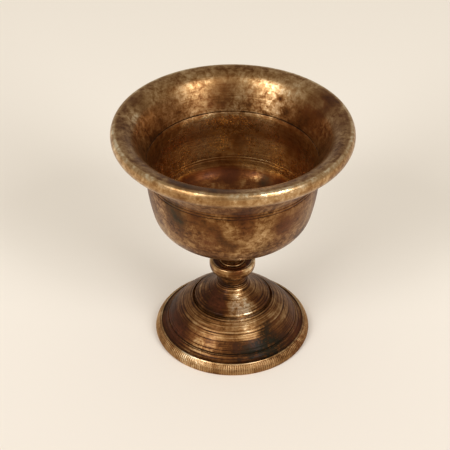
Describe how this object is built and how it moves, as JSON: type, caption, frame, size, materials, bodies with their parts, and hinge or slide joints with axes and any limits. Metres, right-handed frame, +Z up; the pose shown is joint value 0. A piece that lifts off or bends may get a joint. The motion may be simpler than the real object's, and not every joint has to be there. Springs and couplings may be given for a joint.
{
  "type": "footed ritual cup",
  "caption": "Footed brass cup: a flared bowl with a thick rolled lip on a short neck, a dished knop collar and a hollow bell foot with turned mouldings and a milled base band.",
  "frame": {"origin": "middle of the standing ring under the foot, on the surface that the cup stands on", "axes": "+Z up along the axis that every piece is turned about; X and Y are alike"},
  "size_m": [0.1, 0.1, 0.1056],
  "materials": {
    "foot_brass": "cast and turned brass, aged brown, rubbed golden on the swelling and the milled band",
    "collar_brass": "turned brass, rubbed golden on its bead, dark in its dish",
    "ring_brass": "turned brass, dull with a rubbed edge",
    "bowl_brass": "cast and turned brass, mottled gold and brown outside, dark brown inside, bright on the lip",
    "stud_brass": "dull screwed brass rod",
    "fastener_brass": "dull brass, as cut"
  },
  "bodies": {
    "root": {"foot": "foot_brass", "knop_collar": "collar_brass", "packing_ring": "ring_brass", "bowl": "bowl_brass", "tie_stud": "stud_brass", "washer": "fastener_brass", "nut": "fastener_brass"}
  },
  "joints": []
}
